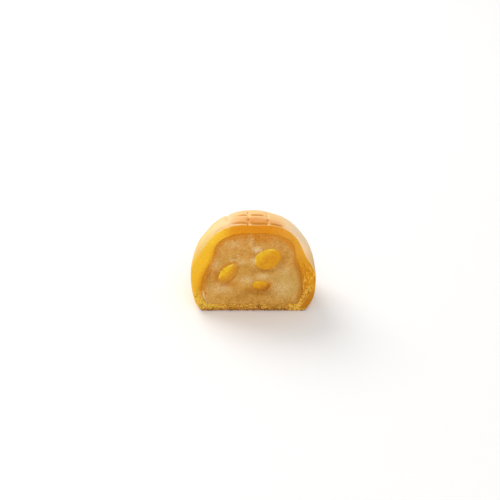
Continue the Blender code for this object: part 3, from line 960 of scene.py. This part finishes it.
def pasteStand(x, z, edge):
    # how far the paste stands out of the cut: swells, grains, a curled edge, a smear, lumps at the crown, and
    # a pocket for each nut with a collar round it. The curl and the smear come back too
    flat = onCut(x, z)
    stand = paste["swell"] * swells(flat, 6.5, 201)
    stand = stand + 0.13 * swells(flat, 2.4, 202) + 0.06 * swells(flat, 1.0, 203)
    coarse = 0.4 + 0.6 * fade(swells(flat, 4.0, 209), -0.3, 0.4)
    stand += paste["grain"] * coarse * grains(flat, 0.85, 204) + 0.06 * grains(flat, 0.45, 208)
    stand -= 0.1 * (1 - fade(edge, 0.0, 0.9))
    curl = hump(edge - 0.6, 0.4) * fade(x, -14.5, -16.2) * fade(z, 8.8, 7.4) * fade(z, 4.6, 5.6)
    stand += paste["curl"] * curl
    (middleX, middleZ), radius, height = paste["ring"]
    away = np.hypot(x - middleX, z - middleZ) + 0.6 * swells(flat, 1.3, 211)
    ring = hump(away - radius, 0.4) * fade(swells(flat, 0.9, 213), -0.3, 0.4)
    stand += height * ring
    stand += 0.3 * spot(x, z, *paste["crownLumps"]) * grains(flat, 0.8, 212)
    for nut in chestnuts.values():
        reach, toward, mouth = nutPlace(nut, x, z)
        reach = reach / mouth
        collar = hump(reach - 1.0, 0.09) * (0.4 + 0.6 * fade(toward, 0.4, -0.1))
        pocket = 1 - fade(reach, 0.72, 0.9)
        stand = stand * (1 - pocket) - paste["pocket"] * pocket
        stand = stand + (0.06 + 0.26 * grains(flat, 0.7, 214)) * collar
    return stand, curl, ring


def nutRing(node, x, z, place, spread, start, end):
    # a soft ring of colour round a nut, stronger from start towards end, counted towards its covered side
    reach, toward, mouth = nutPlace(chestnuts[node], x, z)
    return hump(reach / mouth - place, spread) * fade(toward, start, end)


def strongest(x, z, kind, *others):  # the most at each place of the spots of a kind and of what else is given
    spots = [share * spot(x, z, middle, reach) for share, middle, reach in paste[kind]]
    return np.maximum.reduce([*spots, *others])


def makePaste(paint):
    # the cut face is a patch blended from its four sides; behind it the body follows the hollow of the dough
    form = grown(filling, paste["overlap"])
    corner = paste["shoulder"]
    up, wide = paste["pointsUp"], paste["pointsAcross"]
    left = np.linspace(-1, -corner, up)
    top = np.linspace(-corner, corner, wide)
    around = np.concatenate([left, top[1:-1], -left[::-1]])
    arch = drape(form, around, np.zeros_like(around))
    leftSide, rightSide = arch[:up], arch[::-1][:up]
    topSide = arch[up - 1 : up - 1 + wide]
    u = np.linspace(0, 1, wide)[:, None, None]
    v = np.linspace(0, 1, up)[None, :, None]
    bottomSide = leftSide[0] + (rightSide[0] - leftSide[0]) * u[:, :, 0]
    face = bottomSide[:, None] * (1 - v) + topSide[:, None] * v
    face = face + leftSide[None] * (1 - u) + rightSide[None] * u
    face = face - (
        leftSide[0] * (1 - u) * (1 - v)
        + rightSide[0] * u * (1 - v)
        + leftSide[-1] * (1 - u) * v
        + rightSide[-1] * u * v
    )
    x, z = face[..., 0], face[..., 2]
    edge = edgeDistance(form, x, z)
    stand, curl, ring = pasteStand(x, z, edge)
    low = fade(z, form["bottom"] + 2.0, form["bottom"])
    face[..., 1] = -stand
    face[..., 2] -= paste["sag"] * low

    flat = onCut(x, z)
    ragged = edge + 0.6 * swells(flat, 2.2, 221) + 0.35 * swells(flat, 0.8, 222)
    fringe = 1.5 + 1.4 * fade(z, 25, 30) + 0.4 * fade(z, 20, 10)  # how wide its golden border is
    fringe = fringe + 1.4 * fade(x, -11, -14) * hump(z - 14.0, 5.0)
    crown = spot(x, z, (3.6, 30.0), (3.6, 2.4)) + 0.25 * swells(flat, 1.0, 223)
    golden = strongest(
        x, z, "goldenAndShadowSpots",
        0.95 * (1 - fade(ragged, 0.25 * fringe, fringe)) * fade(z, 3.5, 7),
        0.9 * fade(crown, 0.25, 0.7),
        0.8 * nutRing("chestnut_left", x, z, 1.12, 0.16, 0.2, -0.4),
        0.8 * nutRing("chestnut_lower", x, z, 1.08, 0.24, -0.3, 0.5),
        0.5 * lowCorner(x, z),
    )
    brown = strongest(x, z, "brownSpots", 0.5 * fade(edge, 2.4, 0.6) * fade(x, 9, 14) * fade(z, 24, 16))
    pale = strongest(x, z, "paleAndHighlightSpots", 0.9 * curl, 0.3 * lowCorner(x, z), 0.5 * ring)
    sheet = Sheet()
    front = sheet.add(face, golden=golden, brown=brown, pale=pale)
    sheet.skin(front)
    a, b = np.meshgrid(around, paste["depths"], indexing="ij")
    behind = sheet.add(drape(form, a, b), golden=1.0, brown=0.0, pale=0.0)
    rimRow = np.concatenate([front[0, :], front[1:-1, -1], front[-1, ::-1]])
    body = np.concatenate([rimRow[:, None], behind], axis=1)
    sheet.skin(body)
    sheet.cap(np.concatenate([front[:, 0], body[-1, 1:], body[-2::-1, -1], body[0, -2:0:-1]]))
    return makePiece("beanPaste", sheet, paint, "bean_paste", "bean_paste")


def paintPaste():
    material, shader, start, place = newPaint("bean paste", 0.15, 0.03, 0.22)
    x, _, z = axesOf(place)
    cloud, patch, fine = place.noise(3.2, 3.0), place.noise(1.4, 3.0), place.noise(0.5, 3.0, 0.65)
    grain = place.cells(0.55)
    golden, brown, pale = start.fields("golden", "brown", "pale")
    colour = cloud.ease(0.3, 0.7).between(*paste["bodyTints"])
    colour = colour.layers(
        ("d29344", z.ease(17, 27) * 0.6),
        ("c9a454", x.ease(3, 10) * z.ease(19, 13) * z.ease(3, 8) * 0.6),
        ("dca85c", patch.ease(0.48, 0.66) * 0.4),
        ("b8842a", patch.ease(0.48, 0.32) * 0.3),
        # golden and brown patches, with painted shadows below the chestnuts
        (paste["goldenTint"], golden),
        (paste["brownTint"], brown),
        (paste["paleTint"], pale),
        # painted glints on the tops of the grains
        ("f0d8a4", (1 - grain.ease(0.05, 0.4)) * fine.ease(0.54, 0.64) * 0.7),
        ("a8721f", grain.ease(0.45, 0.75) * fine.ease(0.5, 0.38) * 0.5),
    )
    colour = colour.times(0.66 + 0.68 * fine)
    roughness = 0.42 + 0.25 * fine
    finishPaint(start, shader, colour, roughness, fine + (1 - grain) * 0.6, 0.14)
    return material


crumbs = {  # loose crumbs along the base and up the broken side
    "tries": 9000,
    "most": 520,
    "across": (-20.5, 20.5),  # where they are tried, on the cut
    "up": (0.15, 14),
    "small": 0.12,
    "large": 0.34,
    "squeeze": (0.6, 1.2),  # by how much each is squeezed along its axes
    "dents": (0.75, 1.15),
    "depth": (-0.4, 0.15),  # how far behind the cut their middles lie
    "overPaste": 1.8,  # how far they reach over the paste at its lower left corner
    "seed": 7,
}


def makeCrumbs(paint):
    # each crumb is a ball on a coarse grid of two angles, squeezed along its axes and dented by noise
    draw = np.random.default_rng(crumbs["seed"])
    tries = crumbs["tries"]
    x = draw.uniform(*crumbs["across"], tries)
    z = draw.uniform(*crumbs["up"], tries)
    width, height, _ = profile(loaf)
    overPaste = crumbs["overPaste"] * lowCorner(x, z)
    fromRim = np.interp(z, height[::-1], width[::-1]) - np.abs(x)
    clear = 0.6 + 0.6 * fade(z, 3, 8) + 1.2 * fade(z, 7, 9) * (x < 0)  # how far they stay in from the rim
    inBand = (fromRim > clear) & (edgeDistance(filling, x, z) < 0.3 + overPaste)
    crumb, torn = crumbMasks(x, z)
    likely = np.maximum.reduce([crumb, 0.25 * torn, 1.2 * lowCorner(x, z)]) ** 2 * fade(z, 20, 0)
    keep = inBand & (draw.uniform(0, 1, tries) < likely)
    x, z, fromRim = (values[keep][: crumbs["most"]] for values in (x, z, fromRim))
    count = len(x)
    size = crumbs["small"] + (crumbs["large"] - crumbs["small"]) * draw.uniform(0, 1, count) ** 2.5
    down = np.linspace(0, math.pi, 6)[1:-1]
    turn = np.linspace(0, 2 * math.pi, 8)[:-1]
    t, angle = np.meshgrid(down, turn, indexing="ij")
    ball = np.stack([np.sin(t) * np.cos(angle), np.sin(t) * np.sin(angle), np.cos(t)], axis=-1)
    poles = np.array([[0.0, 0.0, 1.0], [0.0, 0.0, -1.0]])
    unit = np.concatenate([ball.reshape(-1, 3), poles])
    squeeze = draw.uniform(*crumbs["squeeze"], (count, 1, 3)) * size[:, None, None]
    dents = draw.uniform(*crumbs["dents"], (count, len(unit), 1))
    spin = draw.uniform(0, 2 * math.pi, count)[:, None]
    local = unit[None] * dents * squeeze
    turned = np.stack([
        local[..., 0] * np.cos(spin) - local[..., 2] * np.sin(spin),
        local[..., 1],
        local[..., 0] * np.sin(spin) + local[..., 2] * np.cos(spin),
    ], axis=-1)
    sunk = rimSoftness(x, z) ** 2 / (4 * fromRim)  # as far as the rounded rim, a hyperbola, lies back there
    y = draw.uniform(*crumbs["depth"], count) + sunk
    points = turned + np.stack([x, y, np.maximum(z, size * 0.9)], axis=-1)[:, None]
    points[..., 2] = np.maximum(points[..., 2], 0.02)  # just clear of the floor
    shade = draw.uniform(0.4 + 0.35 * fade(x, -10, -14), 1.0)[:, None] * np.ones(len(unit))

    sheet = Sheet(**dough["fields"])
    numbers = sheet.add(points, cut=1.0, grain=shade)
    rings = numbers[:, :-2].reshape(count, len(down), len(turn))
    rings = np.concatenate([rings, rings[..., :1]], axis=2)
    sheet.skin(rings)
    for row, tip in ((rings[:, 0], numbers[:, -2]), (rings[:, -1], numbers[:, -1])):
        ends = np.stack([row[:, :-1], row[:, 1:], np.repeat(tip[:, None], len(turn), axis=1)], axis=-1)
        sheet.faces += ends.reshape(-1, 3).tolist()
    return makePiece("baseCrumbs", sheet, paint, "dough")


stage = {
    "elevation": 28.5,  # of the camera, in degrees
    "distance": 495.0,
    "target": (-0.98, cutY, 25.0),
    "lens": 100.8,
    "worldLight": 0.64,
    "floorSize": 12.0,  # in metres
    "floorTint": "f4f4f4",
    "lights": {  # place in metres, side in metres, watts and colour
        "back light": ((-0.35, 0.45, 0.55), 0.5, 3.6, (1.0, 0.98, 0.95)),
        "front light": ((0.1, -0.8, 0.6), 0.7, 3.0, (1.0, 1.0, 1.0)),
    },
}


def aim(thing, target):  # turns a camera or lamp towards a place
    thing.rotation_euler = (thing.location - target).to_track_quat("Z", "Y").to_euler()


def makeStage():
    scene = bpy.context.scene
    scene.view_settings.view_transform = "Standard"
    world = bpy.data.worlds.new("studio")
    world.use_nodes = True
    background = world.node_tree.nodes["Background"]
    setSockets(background, {"Color": (1.0, 1.0, 1.0, 1.0), "Strength": stage["worldLight"]})
    scene.world = world

    half = stage["floorSize"] / 2
    mesh = bpy.data.meshes.new("floor")
    corners = [(-half, -half, 0), (half, -half, 0), (half, half, 0), (-half, half, 0)]
    mesh.from_pydata(corners, [], [(0, 1, 2, 3)])
    floor = addObject("floor", mesh)
    material, shader = plainPaint("floor")
    setSockets(shader, {"Base Color": tint(stage["floorTint"]), "Roughness": 0.7})
    mesh.materials.append(material)

    target = Vector(stage["target"]) * metres
    camera = addObject("camera", bpy.data.cameras.new("camera"))
    lift = math.radians(stage["elevation"])
    away = Vector((0.0, -math.cos(lift), math.sin(lift))) * stage["distance"] * metres
    camera.location = target + away
    camera.data.lens = stage["lens"]
    camera.data.clip_end = 100.0
    aim(camera, target)
    scene.camera = camera
    for name, (place, side, watts, colour) in stage["lights"].items():
        lamp = bpy.data.lights.new(name, "AREA")
        lamp.size = side
        lamp.energy = watts
        lamp.color = colour
        thing = addObject(name, lamp)
        thing.location = place
        aim(thing, target)


makeStage()
print("stage ready")
doughPaint = paintDough()
makeDough(doughPaint)
print("dough skin made")
makePaste(paintPaste())
print("bean paste made")
nutPaint = paintChestnut()
for node in chestnuts:
    makeChestnut(node, nutPaint)
print("chestnuts made")
makeCrumbs(doughPaint)
print("crumbs made")
